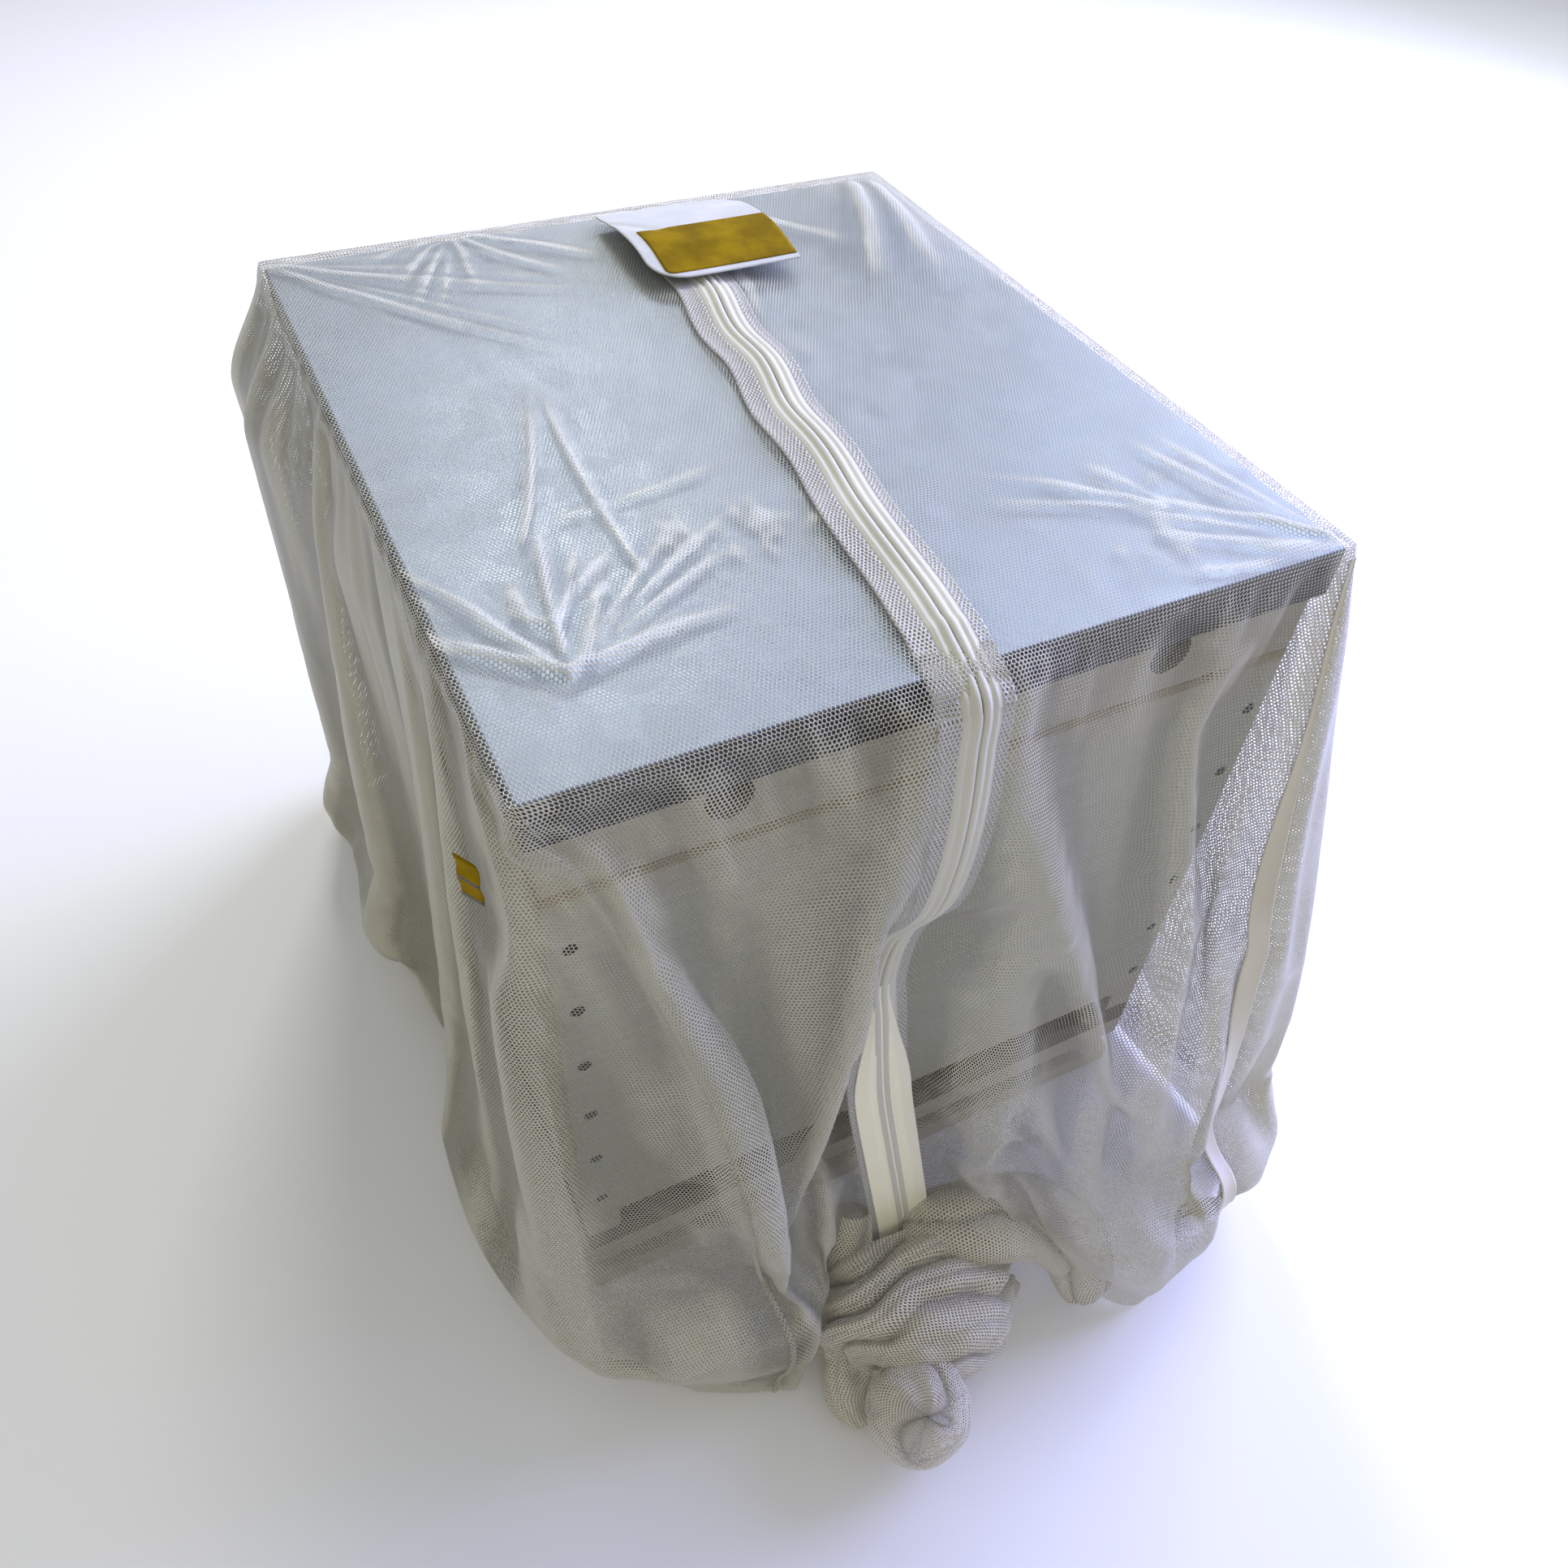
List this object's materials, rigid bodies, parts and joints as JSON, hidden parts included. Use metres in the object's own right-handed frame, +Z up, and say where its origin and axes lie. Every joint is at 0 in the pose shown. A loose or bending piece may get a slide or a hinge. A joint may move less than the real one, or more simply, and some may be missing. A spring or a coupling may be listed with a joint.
{
  "type": "beekeeping veil",
  "caption": "Zipped white net veil drawn over a box hive, gathered and knotted at the front, with a slider flap on top; the veil and the hive's lid lift off.",
  "frame": {"origin": "on the floor, at the middle of the underside of the hive's base board", "axes": "+Z up, -Y towards the hive's entrance and the knot, +X to the right as seen from the front"},
  "size_m": [0.526, 0.734, 0.5204],
  "materials": {
    "painted_wood": "matt white paint on sawn boards",
    "bare_wood": "unpainted",
    "zinc_sheet": "galvanised sheet",
    "nail_steel": "dull round heads",
    "net_fabric": "white hexagonal net with a soft sheen",
    "seam_tape": "folded and stitched net binding",
    "zip_tape": "woven ivory tape",
    "zip_coil": "moulded nylon coil",
    "zip_metal": "satin",
    "flap_card": "stiffened white cloth",
    "yellow_label": "printed mustard cloth, left blank"
  },
  "bodies": {
    "hive": {"base_board": "painted_wood", "stand_front_bar": "painted_wood", "stand_back": "painted_wood", "stand_left": "painted_wood", "stand_right": "painted_wood", "hive_floor": "painted_wood", "cleat_left": "painted_wood", "cleat_right": "painted_wood", "cleat_back": "painted_wood", "box_front": "painted_wood", "box_back": "painted_wood", "box_left": "painted_wood", "box_right": "painted_wood", "box_nails": "nail_steel"},
    "crown": {"crown_board": "bare_wood"},
    "rim": {"rim_front": "painted_wood", "rim_back": "painted_wood", "rim_left": "painted_wood", "rim_right": "painted_wood"},
    "lid": {"lid_sheet": "zinc_sheet", "lid_board": "bare_wood", "lid_nails": "nail_steel"},
    "veil": {"net_top_left": "net_fabric", "net_top_right": "net_fabric", "net_side_left": "net_fabric", "net_side_right": "net_fabric", "net_back": "net_fabric", "net_front_left": "net_fabric", "net_front_right": "net_fabric", "gathered_net": "net_fabric", "end_knot": "net_fabric", "hem_roll_left": "net_fabric", "hem_roll_right": "net_fabric", "seam_left": "seam_tape", "seam_right": "seam_tape", "zip_tape_left": "zip_tape", "zip_tape_right": "zip_tape", "zip_coil_left": "zip_coil", "zip_coil_right": "zip_coil", "zip_stop_back": "zip_metal", "zip_stop_foot": "zip_metal"},
    "slider": {"zip_slider": "zip_metal"},
    "pull": {"zip_pull": "zip_metal"},
    "flap": {"slider_flap": "flap_card", "flap_label": "yellow_label"},
    "tag": {"side_tag": "yellow_label"}
  },
  "joints": [
    {"name": "veil_lift", "type": "slide", "parent": "hive", "child": "veil", "axis": [0, 0, 1], "range_m": [0, 0.6]},
    {"name": "lid_lift", "type": "slide", "parent": "hive", "child": "lid", "axis": [0, 0, 1], "range_m": [0, 0.24]},
    {"name": "rim_lift", "type": "slide", "parent": "hive", "child": "rim", "axis": [0, 0, 1], "range_m": [0, 0.15]},
    {"name": "crown_lift", "type": "slide", "parent": "hive", "child": "crown", "axis": [0, 0, 1], "range_m": [0, 0.09]},
    {"name": "slider_travel", "type": "slide", "parent": "veil", "child": "slider", "axis": [-0.101, -0.9949, 0], "range_m": [0, 0.39]},
    {"name": "pull_swing", "type": "hinge", "parent": "slider", "child": "pull", "pos_m": [0.03245, 0.165, 0.5111], "axis": [-0.9949, 0.101, 0], "range_deg": [0, 60]},
    {"name": "flap_lift", "type": "hinge", "parent": "veil", "child": "flap", "pos_m": [0.05, 0.234, 0.507], "axis": [-1, 0, 0], "range_deg": [0, 150]},
    {"name": "tag_swing", "type": "hinge", "parent": "veil", "child": "tag", "pos_m": [-0.23116, -0.222, 0.4251], "axis": [0.0855, 0, 0.9963], "range_deg": [0, 120]}
  ],
  "couplings": [
    {"joint": "lid_lift", "follows": "veil_lift", "ratio": 0.4},
    {"joint": "rim_lift", "follows": "veil_lift", "ratio": 0.25},
    {"joint": "crown_lift", "follows": "veil_lift", "ratio": 0.15},
    {"joint": "pull_swing", "follows": "slider_travel", "rad_per_m": 2.6851}
  ]
}
